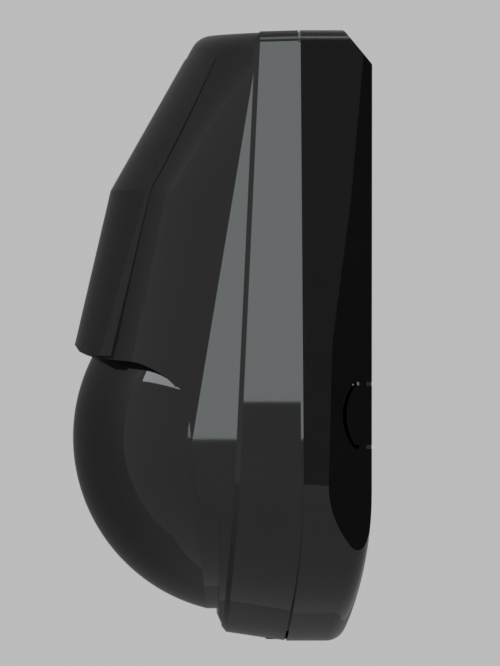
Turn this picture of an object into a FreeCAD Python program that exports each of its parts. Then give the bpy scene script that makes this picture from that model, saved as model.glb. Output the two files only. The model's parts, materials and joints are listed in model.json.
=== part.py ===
import FreeCAD, Part
import math
import os

Vector = FreeCAD.Vector

# Passive infrared motion sensor for a wall: a hooded front cover with a
# domed lens, hooked at its top edge to a rear housing that carries the board.
# Frame: X across the face, +Z up, the wall is the plane Y = 0 and the face
# looks along -Y. Depths are measured from the wall, so depth d is Y = -d.
# The origin is on the wall, in the middle of the flat back.

# Outline of the housing, seen from the front
HALF_WIDTH = 32.5
TOP_Z = 44.4
BOTTOM_Z = -65.5
TOP_CORNER_R = 2.2
STRAIGHT_SIDE_Z = -37.0
FLANK_R = 27.0

# Walls
COVER_WALL = 2.0
REAR_WALL = 2.4
BACK_WALL = 2.0

# Rear housing, seen from the side
TOP_CHAMFER_DEPTH = 5.1
TOP_CHAMFER_DROP = 6.1
HEEL_BEND_Z = -51.2
HEEL_BEND_R = 72.0
HEEL_DEPTH = 5.3
HEEL_R = 3.6
CHAMFER_EDGE_R = 0.8

# Corner facets of the rear housing, which let it sit in the corner of a room
FACET_EDGE = ((44.4, 2.4), (14.0, 4.8), (-12.0, 7.8), (-65.5, 9.0))
FACET_RATIO = 1.7

# Parting line between cover and rear housing, a curve in the side view
SEAM_DEPTH = 13.1
SEAM_BEND_DEPTH = 12.4
SEAM_BEND_Z = -50.0
SEAM_FOOT_DEPTH = 15.2
SEAM_BEND_R = 157.0
SEAM_GAP = 0.45

# Lap joint behind the parting line
REBATE_WALL = 1.2
REBATE_LENGTH = 2.9
LIP_CLEARANCE = 0.25
LIP_LENGTH = 2.2

# Rim of the cover: straight, then drawn in towards the front
DRAFT_END = 27.0
DRAFT_SIDE = 0.6
DRAFT_TOP = 0.4
DRAFT_BOTTOM = 1.8
RIM_FRONT_TOP = 20.9
RIM_FRONT_BEND = 24.9
RIM_FRONT_BEND_Z = -42.0
RIM_FRONT_FOOT = 26.9
RIM_FRONT_R = 90.0
RIM_BEVEL = 0.9

# Draft of the rear housing's walls towards the back of the housing
REAR_DRAFT = 0.8

# Snout: side walls of the hood, narrower than the rim
SNOUT_INSET = 1.7
SNOUT_BACK_DEPTH = 15.0
SNOUT_DROP = 0.15
SNOUT_FOOT = 2.5
SNOUT_TOP_FALL = 0.55
WEDGE_TOP_DEPTH = 20.0
WEDGE_SLOPE = 0.1667

# Hood front, measured on the centre line below the nose panel
HOOD_TOP_DEPTH = 30.4
KINK_DEPTH = 46.2
KINK_Z = 15.8
HOOD_LIP_DEPTH = 51.6
HOOD_LIP_Z = -11.2
HOOD_EDGE_R = 4.2

# Nose panel, a raised bridge down the middle of the hood
NOSE_HALF_TOP = 20.8
NOSE_HALF_KINK = 19.6
NOSE_HALF_LIP = 18.0
NOSE_RISE_KINK = 0.5
NOSE_RISE_LIP = 1.4
NOSE_EDGE_RATIO = 1.35
NOSE_END_Z = -12.0
NOSE_ROOT = 3.0
NOSE_TOP_Z = 39.5
NOSE_RISE_TOP = 0.15
NOSE_LIP_DEPTH = 0.9
NOSE_LIP_SLOPE = 1.45
NOSE_LIP_REACH = 2.9

# Opening for the lens, seen from the front
OPENING_SIDE_WALL = 0.9
OPENING_HALF_WIDTH = HALF_WIDTH - SNOUT_INSET - OPENING_SIDE_WALL
OPENING_SIDE_Z = -28.7
OPENING_FLANK_R = 50.0
OPENING_BOTTOM_Z = -59.8
ARCH_Z = -14.0
ARCH_R = 250.0
ARCH_CORNER_R = 8.5
LIP_RISE = 1.3
HOOD_FLOOR = 1.7

# Front edge of the cover beside and below the lens, in the side view
EAR_TOP = (34.6, -19.6)
EAR_MIDDLE = (32.9, -24.2)
EAR_FOOT = (31.5, -38.8)
EAR_HEEL = (27.1, -43.2)
EAR_R = 1.6
EAR_BEND_R = 6.0
RING_FOOT_DEPTH = 27.4
RING_FOOT_Z = -60.6
RING_FOOT_BEVEL = 1.0

# Lens: a thin dome of one radius with a skirt and a flange
LENS_R = 31.9
LENS_CENTRE_DEPTH = 21.6
LENS_CENTRE_Z = -28.7
LENS_WALL = 1.0
LENS_CLEARANCE = 0.15
LENS_SEAT_DEPTH = 21.7
SEAT_WALL = 1.5
FLANGE_THICK = 1.2
FLANGE_CLEARANCE = 0.4
FLANGE_TOP_Z = -8.6
RETAINER_THICK = 1.2
RETAINER_WINDOW_EASE = 0.6
FRESNEL_RINGS = (3.0, 5.5, 8.0, 10.5)
FRESNEL_DEPTH = 0.25

# Stakes that hold flange and retainer to the cover
STAKE_R = 0.8
STAKE_HEAD_R = 1.4
STAKE_HEAD_THICK = 0.7
STAKE_CLEARANCE = 0.15
STAKE_INSET = 3.4
STAKE_RING = 0.3
STAKE_TURN = 48.0
STAKES = ((OPENING_HALF_WIDTH - STAKE_INSET, -11.4), (
    (LENS_R + STAKE_RING) * math.cos(math.radians(STAKE_TURN)),
    LENS_CENTRE_Z - (LENS_R + STAKE_RING) * math.sin(math.radians(STAKE_TURN))))

# Hooks at the top edge of the cover
HOOK_X = 14.0
HOOK_HALF_WIDTH = 3.0
HOOK_ARM_GAP = 0.3
HOOK_ARM_THICK = 1.2
HOOK_TIP_DEPTH = 8.6
HOOK_TIP_LENGTH = 1.4
HOOK_TIP_RISE = 1.3
HOOK_ROOT_DEPTH = 18.6
POCKET_EASE = 0.4
POCKET_SWING = 1.1

# Locking screw under the cover
LOCK_DEPTH = 16.7
LOCK_SHANK_R = 1.1
LOCK_HEAD_R = 2.1
LOCK_HEAD_THICK = 1.5
LOCK_BOSS_R = 2.3
LOCK_BOSS_TOP_Z = -57.5
LOCK_BOSS_BOTTOM_Z = -61.8
LOCK_PAD_HALF_WIDTH = 4.2
LOCK_PAD_GAP = 0.6
LOCK_FLOOR = 1.2
LOCK_EASE = 0.3
LOCK_RECESS_EASE = 0.5
THREAD_CLEARANCE = 0.05

# Wall fixing holes
WALL_HOLE_R = 2.2
WALL_HOLE_TOP_Z = 32.0
WALL_HOLE_SPACING = 72.0
WALL_PAD_R = 5.0
WALL_PAD_RISE = 1.0

# Cable entries: a D-shaped knock-out in each corner facet, a window behind it
KNOCKOUT_Z = -24.7
KNOCKOUT_HALF_HEIGHT = 6.0
KNOCKOUT_DEPTH = 5.3
KNOCKOUT_FLANK = 3.1
KNOCKOUT_GROOVE = 0.7
KNOCKOUT_WEB_START = 1.0
KNOCKOUT_WEB_END = 2.3
ENTRY_INNER_X = 19.5
ENTRY_OUTER_X = 26.3
ENTRY_HALF_HEIGHT = 4.2
ENTRY_GROOVE = 0.8
ENTRY_WEB = 0.8

# Circuit board
BOARD_BACK_DEPTH = 13.4
BOARD_THICK = 1.6
BOARD_SIDE_ROOM = 4.1
BOARD_HALF_WIDTH = HALF_WIDTH - REAR_WALL - BOARD_SIDE_ROOM
BOARD_TOP_Z = 24.0
BOARD_BOTTOM_Z = -36.0
BOARD_CORNER_R = 1.5
POST_R = 2.8
POST_TOP_INSET = 3.5
POST_LOW_INSET = 4.5
POST_TOP = (BOARD_HALF_WIDTH - POST_TOP_INSET, 19.5)
POST_LOW = (BOARD_HALF_WIDTH - POST_LOW_INSET, -32.0)
PEG_R = 1.2
PEG_RISE = 1.2
PEG_CLEARANCE = 0.15
BOARD_SCREW_R = 1.1
BOARD_SCREW_LENGTH = 7.0
BOARD_SCREW_HEAD_R = 2.2
BOARD_SCREW_HEAD_THICK = 1.4
BOARD_HOLE_CLEARANCE = 0.3

# Infrared sensor in its metal can, with its window at the lens's centre
CAN_R = 4.1
CAN_HEIGHT = 3.4
CAN_FLANGE_R = 4.7
CAN_FLANGE_THICK = 0.6
CAN_TOP_DEPTH = 21.6
WINDOW_WIDTH = 4.0
WINDOW_HEIGHT = 3.0
WINDOW_THICK = 0.5
LEAD_R = 0.25
LEAD_CIRCLE_R = 2.54
LEAD_TAIL = 1.4
COLLAR_WALL = 1.5
COLLAR_CLEARANCE = 0.25
COLLAR_RISE = 6.2

# Indicator lamp behind the lens
LED_X = 13.0
LED_Z = -21.0
LED_R = 1.5
LED_FLANGE_R = 1.9
LED_FLANGE_THICK = 1.0
LED_HEIGHT = 5.3
LED_LEAD_PITCH = 2.54

# Terminal block
TERMINAL_WAYS = 6
TERMINAL_PITCH = 5.08
TERMINAL_Z = 15.5
TERMINAL_LENGTH_Z = 9.0
TERMINAL_HEIGHT = 10.0
TERMINAL_SHOULDER = 7.2
TERMINAL_WELL_R = 2.0
TERMINAL_ENTRY = 3.4
TERMINAL_ENTRY_HEIGHT = 3.8
TERMINAL_FLOOR = 1.2
TERMINAL_SCREW_R = 1.8
TERMINAL_SHANK_R = 1.25
TERMINAL_SCREW_HEAD = 1.5

# Tamper switch, held in by a rib of the cover
TAMPER_INSET = 4.5
TAMPER_X = BOARD_HALF_WIDTH - TAMPER_INSET
TAMPER_Z = 3.0
TAMPER_BODY = 6.0
TAMPER_BODY_HEIGHT = 3.6
TAMPER_BORE_CLEARANCE = 0.1
TAMPER_STEM_R = 0.9
TAMPER_HEAD_R = 2.2
TAMPER_HEAD_THICK = 1.1
TAMPER_TRAVEL = 1.2
TAMPER_STEM_EXPOSED = 3.0
TAMPER_STEM_INSIDE = 1.6
TAMPER_RIB_GAP = 0.3
TAMPER_RIB_HALF = 0.7
SPRING_WIRE_R = 0.2
SPRING_R = 1.55
SPRING_TURNS = 4
SPRING_STEPS = 14
SPRING_SIDES = 6
SPRING_PLAY = 0.03

# Option header
HEADER_INSET = 4.5
HEADER_X = BOARD_HALF_WIDTH - HEADER_INSET

# Margin by which a cutting shape passes the surface that it cuts
OVERCUT = 1.0
FAR = 70.0


def at(x, depth, z):
    """Point at a height z, across x and out from the wall by depth."""
    return Vector(x, -depth, z)


def corner_arc(before, corner, after, radius):
    """Start, middle and end of the arc that rounds one corner of an outline."""
    back = (before - corner).normalize()
    onward = (after - corner).normalize()
    half = back.getAngle(onward) / 2
    reach = radius / math.tan(half)
    bisector = (back + onward).normalize()
    middle = corner + bisector * (radius / math.sin(half) - radius)
    return corner + back * reach, middle, corner + onward * reach


def rounded_wire(corners, place):
    """Closed outline through corners (u, v, radius), each rounded by its radius."""
    points = [place(u, v) for u, v, radius in corners]
    count = len(points)
    stretches = []
    for index, (u, v, radius) in enumerate(corners):
        if radius > 0:
            around = points[index - 1], points[index], points[(index + 1) % count]
            stretches.append(corner_arc(*around, radius))
        else:
            stretches.append((points[index], None, points[index]))
    edges = []
    for index, (start, middle, end) in enumerate(stretches):
        if middle is not None:
            edges.append(Part.Arc(start, middle, end).toShape())
        following = stretches[(index + 1) % count][0]
        if end.distanceToPoint(following) > 1e-6:
            edges.append(Part.makeLine(end, following))
    return Part.Wire(edges)


def side_prism(corners, x_from, x_to):
    """Profile of corners (depth, z, radius) in the side view, carried along X."""
    wire = rounded_wire(corners, lambda depth, z: at(x_from, depth, z))
    return Part.Face(wire).extrude(Vector(x_to - x_from, 0, 0))


def front_prism(wire, depth_from, depth_to):
    """Front-view outline lying at depth_from, carried out to depth_to."""
    return Part.Face(wire).extrude(Vector(0, depth_from - depth_to, 0))


def plate(corners, depth_from, depth_to):
    """Front-view outline of corners (x, z, radius), carried from depth to depth."""
    wire = rounded_wire(corners, lambda x, z: at(x, depth_from, z))
    return front_prism(wire, depth_from, depth_to)


def block(x_from, x_to, depth_from, depth_to, z_from, z_to):
    """Box between two corners given as x, depth and z."""
    size = (x_to - x_from, depth_to - depth_from, z_to - z_from)
    return Part.makeBox(*size, at(x_from, depth_to, z_from))


def peg(x, z, radius, depth_from, depth_to):
    """Round bar that stands out from the wall between two depths."""
    return Part.makeCylinder(radius, depth_to - depth_from, at(x, depth_from, z), at(0, 1, 0))


def mirrored(shape):
    """The same shape on the other side of the centre plane."""
    return shape.mirror(Vector(0, 0, 0), Vector(1, 0, 0))


def both_sides(shape):
    """A shape and its mirror image, fused."""
    return shape.fuse(mirrored(shape))


def join(first, *others):
    """Fuse of several shapes, with split faces merged again."""
    return first.fuse(list(others)).removeSplitter()


def near_edges(shape, belongs):
    """Edges whose middle point passes the test belongs(x, depth, z)."""
    found = []
    for edge in shape.Edges:
        middle = edge.valueAt((edge.FirstParameter + edge.LastParameter) / 2)
        if belongs(middle.x, -middle.y, middle.z):
            found.append(edge)
    return found


def export(name, *solids):
    """Write one node, which holds one solid or several separate ones."""
    shape = solids[0] if len(solids) == 1 else Part.makeCompound(list(solids))
    shape.exportStep("parts/" + name + ".step")


def bowl_edges(depth, half, side_z, bottom, flank_r):
    """Round foot of an outline: an arc down each side and one across the bottom."""
    drop = side_z - bottom
    offset = flank_r - half
    bowl_r = (flank_r ** 2 - offset ** 2 - drop ** 2) / (2 * (flank_r - drop))
    inner = 1 if flank_r > bowl_r else -1
    turn = math.atan2(inner * (drop - bowl_r), inner * offset)
    touch_x = flank_r * math.cos(turn) - offset
    touch_z = side_z - flank_r * math.sin(turn)
    mid_x = flank_r * math.cos(turn / 2) - offset
    mid_z = side_z - flank_r * math.sin(turn / 2)

    def p(x, z):
        return at(x, depth, z)
    return [
        Part.Arc(p(-half, side_z), p(-mid_x, mid_z), p(-touch_x, touch_z)).toShape(),
        Part.Arc(p(-touch_x, touch_z), p(0, bottom), p(touch_x, touch_z)).toShape(),
        Part.Arc(p(touch_x, touch_z), p(mid_x, mid_z), p(half, side_z)).toShape()]


def housing_wire(depth, inset, side_in=0.0, top_in=0.0, bottom_in=0.0):
    """Flat top with small corners, straight sides and a round foot."""
    side_z = STRAIGHT_SIDE_Z + bottom_in - side_in
    edges = body_edges(depth, inset, side_in, top_in, side_z)
    edges += bowl_edges(depth, HALF_WIDTH - side_in - inset, side_z,
                        BOTTOM_Z + bottom_in + inset, FLANK_R - side_in - inset)
    return Part.Wire(edges)


def body_edges(depth, inset, side_in, top_in, side_z):
    """Straight sides and flat top of an outline, down to where its foot begins."""
    half = HALF_WIDTH - side_in - inset
    top = TOP_Z - top_in - inset
    corner = max(TOP_CORNER_R - inset, 0.3)
    slant = corner * (1 - math.sqrt(0.5))
    edges = [Part.makeLine(at(half, depth, side_z), at(half, depth, top - corner))]
    edges.append(Part.Arc(
        at(half, depth, top - corner), at(half - slant, depth, top - slant),
        at(half - corner, depth, top)).toShape())
    edges.append(Part.makeLine(at(half - corner, depth, top), at(corner - half, depth, top)))
    edges.append(Part.Arc(
        at(corner - half, depth, top), at(slant - half, depth, top - slant),
        at(-half, depth, top - corner)).toShape())
    edges.append(Part.makeLine(at(-half, depth, top - corner), at(-half, depth, side_z)))
    return edges


def seam_slab(shift, depth_behind):
    """Everything between a depth and the parting surface moved out by shift."""
    return side_prism([
        (depth_behind, FAR, 0),
        (SEAM_DEPTH + shift, FAR, 0),
        (SEAM_DEPTH + shift, TOP_Z, 0),
        (SEAM_BEND_DEPTH + shift, SEAM_BEND_Z, SEAM_BEND_R),
        (SEAM_FOOT_DEPTH + shift, BOTTOM_Z, 0),
        (SEAM_FOOT_DEPTH + shift, -FAR - OVERCUT, 0),
        (depth_behind, -FAR - OVERCUT, 0)], -FAR, FAR)


def rear_profile(inset):
    """Side view of the rear housing: top chamfer, flat back and curved heel."""
    back = BACK_WALL if inset else 0.0
    slope = math.atan2(TOP_CHAMFER_DEPTH, TOP_CHAMFER_DROP)
    ease = inset * math.tan(slope / 2)
    heel = math.atan2(HEEL_DEPTH, HEEL_BEND_Z - BOTTOM_Z)
    lean = back / math.cos(heel) - inset * math.tan(heel)
    edge = CHAMFER_EDGE_R if not inset else 0.0
    foot_z = BOTTOM_Z - 2 * OVERCUT
    return side_prism([
        (back, TOP_Z - TOP_CHAMFER_DROP - ease, edge),
        (TOP_CHAMFER_DEPTH + inset * math.tan(math.pi / 4 - slope / 2), TOP_Z - inset, edge),
        (FAR, TOP_Z - inset, 0),
        (FAR, foot_z, 0),
        (HEEL_DEPTH + lean + (BOTTOM_Z + inset - foot_z) * math.tan(heel), foot_z, 0),
        (back, HEEL_BEND_Z, HEEL_BEND_R - back)], -FAR, FAR)


def corner_facet(inset):
    """Wedge cut from one rear corner, its face leaning more steeply lower down."""
    length = math.hypot(FACET_RATIO, 1)
    shift_x = inset * FACET_RATIO / length
    shift_depth = inset / length
    reach = HALF_WIDTH / 2
    (top_z, top_depth), *middle, (foot_z, foot_depth) = FACET_EDGE
    rise = (middle[0][1] - top_depth) / (top_z - middle[0][0])
    places = [(FAR, top_depth - rise * (FAR - top_z)), *middle, (foot_z - 2 * OVERCUT, foot_depth)]
    wires = []
    for z, edge_depth in places:
        x = HALF_WIDTH - shift_x
        depth = edge_depth + shift_depth
        outer = at(x + reach / 2, depth + reach / 2 * FACET_RATIO, z)
        inner = at(x - reach, depth - reach * FACET_RATIO, z)
        far = at(x + reach / 2, depth - reach * FACET_RATIO, z)
        wires.append(Part.makePolygon([outer, inner, far, outer]))
    return Part.makeLoft(wires, True, True)


def rear_solid():
    """Rear housing's outline, drawn in from the parting line to the wall."""
    front = SEAM_FOOT_DEPTH + OVERCUT
    grow = REAR_DRAFT * (front - SEAM_DEPTH) / SEAM_DEPTH
    return Part.makeLoft([
        housing_wire(0, 0, REAR_DRAFT, 0, 0), housing_wire(front, 0, -grow, 0, 0)], True, True)


def make_rear_housing():
    """Shell of the rear housing with its lip, bosses, holes and cable entries."""
    facet = corner_facet(0)
    outer = rear_solid().common(rear_profile(0)).cut([facet, mirrored(facet)])
    outer = outer.common(seam_slab(-SEAM_GAP / 2, -OVERCUT))
    heel = near_edges(outer, lambda x, d, z: (
        z < HEEL_BEND_Z - 1 and d < HEEL_DEPTH + 1 and abs(x) < HALF_WIDTH - HEEL_R))
    outer = outer.makeFillet(HEEL_R, heel)

    inner_facet = corner_facet(BACK_WALL)
    cavity = front_prism(housing_wire(BACK_WALL, REAR_WALL), BACK_WALL, FAR)
    cavity = cavity.common(rear_profile(REAR_WALL)).cut([inner_facet, mirrored(inner_facet)])

    lip_outer = front_prism(housing_wire(0, REBATE_WALL + LIP_CLEARANCE), 0, FAR)
    lip = lip_outer.common(seam_slab(LIP_LENGTH, SEAM_BEND_DEPTH - REAR_WALL))
    shell = outer.fuse(lip).cut(cavity)

    shell = join(shell, *rear_posts(), *wall_pads(), lock_boss())
    return shell.cut([*rear_cutters()]).removeSplitter()


def rear_posts():
    """Four posts under the board; the lower two end in locating pegs."""
    posts = []
    for x, z in (POST_TOP, POST_LOW):
        for side in (-1, 1):
            posts.append(peg(side * x, z, POST_R, BACK_WALL - 0.5, BOARD_BACK_DEPTH))
    x, z = POST_LOW
    top = BOARD_BACK_DEPTH + BOARD_THICK + PEG_RISE
    for side in (-1, 1):
        pin = peg(side * x, z, PEG_R, BOARD_BACK_DEPTH - 0.5, top)
        posts.append(pin.makeFillet(0.4, near_edges(pin, lambda px, d, pz: d > top - 0.1)))
    return posts


def wall_holes_z():
    """Heights of the two wall fixing holes."""
    return WALL_HOLE_TOP_Z, WALL_HOLE_TOP_Z - WALL_HOLE_SPACING


def wall_pads():
    """Round pads inside the back, around the fixing holes."""
    return [peg(0, z, WALL_PAD_R, BACK_WALL - 0.5, BACK_WALL + WALL_PAD_RISE)
            for z in wall_holes_z()]


def lock_boss():
    """Boss for the locking screw, standing forward on a web from the bottom wall."""
    boss = Part.makeCylinder(
        LOCK_BOSS_R, LOCK_BOSS_TOP_Z - LOCK_BOSS_BOTTOM_Z, at(0, LOCK_DEPTH, LOCK_BOSS_BOTTOM_Z))
    web = side_prism([
        (LOCK_DEPTH, LOCK_BOSS_TOP_Z, 0),
        (LOCK_DEPTH, LOCK_BOSS_BOTTOM_Z, 0),
        (SEAM_BEND_DEPTH, LOCK_BOSS_BOTTOM_Z, 0),
        (SEAM_BEND_DEPTH, BOTTOM_Z + REAR_WALL - 0.5, 0),
        (HEEL_DEPTH + 3.0, BOTTOM_Z + REAR_WALL - 0.5, 0),
        (HEEL_DEPTH + 3.0, BOTTOM_Z + REAR_WALL + 1.0, 0)], -LOCK_BOSS_R, LOCK_BOSS_R)
    return boss.fuse(web)


def lock_bore(radius, z_from, z_to):
    """Round bar on the locking screw's axis."""
    return Part.makeCylinder(radius, z_to - z_from, at(0, LOCK_DEPTH, z_from))


def lock_floor_z():
    """Height of the face that the locking screw's head bears on."""
    return LOCK_BOSS_BOTTOM_Z - LOCK_PAD_GAP - LOCK_FLOOR


def rear_cutters():
    """Everything that is cut from the rear housing after its bosses are on."""
    cuts = [peg(0, z, WALL_HOLE_R, -OVERCUT, BACK_WALL + FAR / 10) for z in wall_holes_z()]
    cuts.append(lock_bore(LOCK_SHANK_R + THREAD_CLEARANCE, LOCK_BOSS_BOTTOM_Z - OVERCUT,
                          LOCK_BOSS_TOP_Z + OVERCUT))
    cuts.append(lock_bore(LOCK_HEAD_R + LOCK_RECESS_EASE, -FAR, LOCK_BOSS_BOTTOM_Z))
    pad = LOCK_PAD_HALF_WIDTH + LOCK_EASE + 0.5
    cuts.append(block(-pad, pad, SEAM_FOOT_DEPTH - SEAM_GAP / 2, FAR / 3,
                      BOTTOM_Z - OVERCUT, LOCK_BOSS_BOTTOM_Z))
    x, z = POST_TOP
    hole = BOARD_SCREW_R + THREAD_CLEARANCE
    screw_end = BOARD_BACK_DEPTH + BOARD_THICK - BOARD_SCREW_LENGTH
    for side in (-1, 1):
        cuts.append(peg(side * x, z, hole, screw_end - 0.5, BOARD_BACK_DEPTH + OVERCUT))
        cuts.append(hook_pocket(side))
        cuts.append(hook_lip_gap(side))
    knockout = knockout_slot()
    groove = entry_groove()
    cuts += [knockout, mirrored(knockout), groove, mirrored(groove)]
    return cuts


def entry_groove():
    """Groove inside the back around a cable knock-out, which leaves a thin web."""
    def pane(inset):
        return block(ENTRY_INNER_X + inset, ENTRY_OUTER_X - inset, ENTRY_WEB,
                     BACK_WALL + OVERCUT, KNOCKOUT_Z - ENTRY_HALF_HEIGHT + inset,
                     KNOCKOUT_Z + ENTRY_HALF_HEIGHT - inset)
    return pane(0).cut(pane(ENTRY_GROOVE))


def hook_pocket(side):
    """Blind pocket inside the top wall, long enough for the hook's tip to swing."""
    x = side * HOOK_X
    half = HOOK_HALF_WIDTH + POCKET_EASE
    front = HOOK_TIP_DEPTH + HOOK_TIP_LENGTH + POCKET_SWING
    roof = TOP_Z - REAR_WALL + HOOK_TIP_RISE - HOOK_ARM_GAP + POCKET_EASE
    return block(x - half, x + half, HOOK_TIP_DEPTH - POCKET_EASE, front,
                 TOP_Z - REAR_WALL - OVERCUT, roof)


def hook_lip_gap(side):
    """Gap in the lip of the rear housing where a hook's arm passes."""
    x = side * HOOK_X
    half = HOOK_HALF_WIDTH + POCKET_EASE
    return block(x - half, x + half, SEAM_DEPTH - SEAM_GAP / 2, FAR / 3,
                 TOP_Z - REAR_WALL - OVERCUT, TOP_Z + OVERCUT)


def knockout_slot():
    """D-shaped slot through one corner facet, broken by two thin webs."""
    def ring(grow):
        half = KNOCKOUT_HALF_HEIGHT + grow
        flank = at(0, KNOCKOUT_FLANK, KNOCKOUT_Z + half)
        crown = at(0, KNOCKOUT_DEPTH + grow, KNOCKOUT_Z)
        foot = at(0, KNOCKOUT_FLANK, KNOCKOUT_Z - half)
        root = -OVERCUT
        wire = Part.Wire([
            Part.makeLine(at(0, root, KNOCKOUT_Z + half), flank),
            Part.Arc(flank, crown, foot).toShape(),
            Part.makeLine(foot, at(0, root, KNOCKOUT_Z - half)),
            Part.makeLine(at(0, root, KNOCKOUT_Z - half), at(0, root, KNOCKOUT_Z + half))])
        return Part.Face(wire).extrude(Vector(FAR, 0, 0))
    slot = ring(0).cut(ring(-KNOCKOUT_GROOVE))
    slot = slot.common(block(ENTRY_OUTER_X - 1.5, FAR, -FAR, FAR, -FAR, FAR))
    web = block(0, FAR, KNOCKOUT_WEB_START, KNOCKOUT_WEB_END, -FAR, FAR)
    return slot.cut(web)


def rim_draft(depth):
    """How far the rim is drawn in at its sides, top and foot at a depth."""
    share = (depth - SEAM_DEPTH) / (DRAFT_END - SEAM_DEPTH)
    foot = (depth - SEAM_FOOT_DEPTH) / (DRAFT_END - SEAM_FOOT_DEPTH)
    return DRAFT_SIDE * share, DRAFT_TOP * share, DRAFT_BOTTOM * foot


def rim_solid(inset, depth_from, depth_to):
    """Rim of the cover between two depths, drawn in towards the front."""
    wires = [housing_wire(depth, inset, *rim_draft(depth)) for depth in (depth_from, depth_to)]
    return Part.makeLoft(wires, True, True)


def hood_depth(z):
    """Depth of the hood's front on the centre line, below the nose panel."""
    if z > KINK_Z:
        share = (TOP_Z - z) / (TOP_Z - KINK_Z)
        return HOOD_TOP_DEPTH + share * (KINK_DEPTH - HOOD_TOP_DEPTH)
    share = (KINK_Z - z) / (KINK_Z - HOOD_LIP_Z)
    return KINK_DEPTH + share * (HOOD_LIP_DEPTH - KINK_DEPTH)


def nose_rise(z):
    """How far the nose panel stands proud of the hood at a height."""
    if z > KINK_Z:
        share = (NOSE_TOP_Z - z) / (NOSE_TOP_Z - KINK_Z)
        return NOSE_RISE_TOP + share * (NOSE_RISE_KINK - NOSE_RISE_TOP)
    share = (KINK_Z - z) / (KINK_Z - HOOD_LIP_Z)
    return NOSE_RISE_KINK + share * (NOSE_RISE_LIP - NOSE_RISE_KINK)


def wedge_depth(z):
    """Depth at which the flat side wall of the snout ends and the hood curves in."""
    return WEDGE_TOP_DEPTH + WEDGE_SLOPE * (TOP_Z - z)


def hood_arc(z, inset):
    """Half width, depth at the sides and depth in front of the hood's arc."""
    return HALF_WIDTH - SNOUT_INSET - inset, wedge_depth(z) - inset, hood_depth(z) - inset


def hood_wire(z, inset):
    """Level section of the hood: flat sides joined by one arc across the front."""
    half, side, front = hood_arc(z, inset)
    back = SNOUT_BACK_DEPTH
    return Part.Wire([
        Part.makeLine(at(half, back, z), at(half, side, z)),
        Part.Arc(at(half, side, z), at(0, front, z), at(-half, side, z)).toShape(),
        Part.makeLine(at(-half, side, z), at(-half, back, z)),
        Part.makeLine(at(-half, back, z), at(half, back, z))])


def hood_solid(inset):
    """Faceted hood, ruled between level sections at its top, kink and foot."""
    heights = (TOP_Z + OVERCUT, KINK_Z, BOTTOM_Z - OVERCUT)
    hood = Part.makeLoft([hood_wire(z, inset) for z in heights], True, True)
    return hood.common(snout_top(inset)).Solids[0]


def snout_wire(inset):
    """Front-view outline of the snout, narrower than the rim at sides and foot."""
    return housing_wire(SNOUT_BACK_DEPTH, inset, SNOUT_INSET, 0, SNOUT_FOOT)


def snout_prism(inset):
    """Snout outline carried from inside the rim out past the hood."""
    return front_prism(snout_wire(inset), SNOUT_BACK_DEPTH, FAR)


def snout_top(inset):
    """Side profile that keeps the hood under its gently falling top face."""
    top = TOP_Z - SNOUT_DROP - inset
    return side_prism([
        (SNOUT_BACK_DEPTH - OVERCUT, top, 0),
        (HOOD_TOP_DEPTH + OVERCUT, top - SNOUT_TOP_FALL, 0),
        (FAR, top - SNOUT_TOP_FALL, 0),
        (FAR, -FAR, 0),
        (SNOUT_BACK_DEPTH - OVERCUT, -FAR, 0)], -FAR, FAR)


def snout_front():
    """Side profile cut away in front of the cover beside and below the lens."""
    return side_prism([
        (FAR, EAR_TOP[1], 0),
        (*EAR_TOP, 0),
        (*EAR_MIDDLE, EAR_BEND_R),
        (*EAR_FOOT, EAR_R),
        (*EAR_HEEL, EAR_R),
        (RING_FOOT_DEPTH, RING_FOOT_Z, 0),
        (RING_FOOT_DEPTH - RING_FOOT_BEVEL, BOTTOM_Z + SNOUT_FOOT, 0),
        (RING_FOOT_DEPTH - RING_FOOT_BEVEL, -FAR, 0),
        (FAR, -FAR, 0)], -FAR, FAR)


def base_radius(z):
    """Radius of the hood's arc across the front at a height."""
    half, side, front = hood_arc(z, 0)
    rise = front - side
    return (half ** 2 + rise ** 2) / (2 * rise)


def nose_half(z):
    """Half width of the nose panel, which narrows towards its lip."""
    if z > KINK_Z:
        share = (NOSE_TOP_Z - z) / (NOSE_TOP_Z - KINK_Z)
        return NOSE_HALF_TOP + share * (NOSE_HALF_KINK - NOSE_HALF_TOP)
    share = (KINK_Z - z) / (KINK_Z - HOOD_LIP_Z)
    return NOSE_HALF_KINK + share * (NOSE_HALF_LIP - NOSE_HALF_KINK)


def nose_wire(z):
    """Level section of the nose panel: a shallow arc on straight flanks."""
    half = nose_half(z)
    radius = base_radius(z)
    sagitta = radius - math.sqrt(radius ** 2 - half ** 2)
    front = hood_depth(z) + nose_rise(z)
    edge = hood_depth(z) - sagitta + NOSE_EDGE_RATIO * nose_rise(z)
    root = edge - NOSE_ROOT
    return Part.Wire([
        Part.makeLine(at(half, root, z), at(half, edge, z)),
        Part.Arc(at(half, edge, z), at(0, front, z), at(-half, edge, z)).toShape(),
        Part.makeLine(at(-half, edge, z), at(-half, root, z)),
        Part.makeLine(at(-half, root, z), at(half, root, z))])


def nose_solid():
    """Raised panel down the middle of the hood."""
    heights = (NOSE_TOP_Z, KINK_Z, ARCH_Z)
    return Part.makeLoft([nose_wire(z) for z in heights], True, True)


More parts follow.
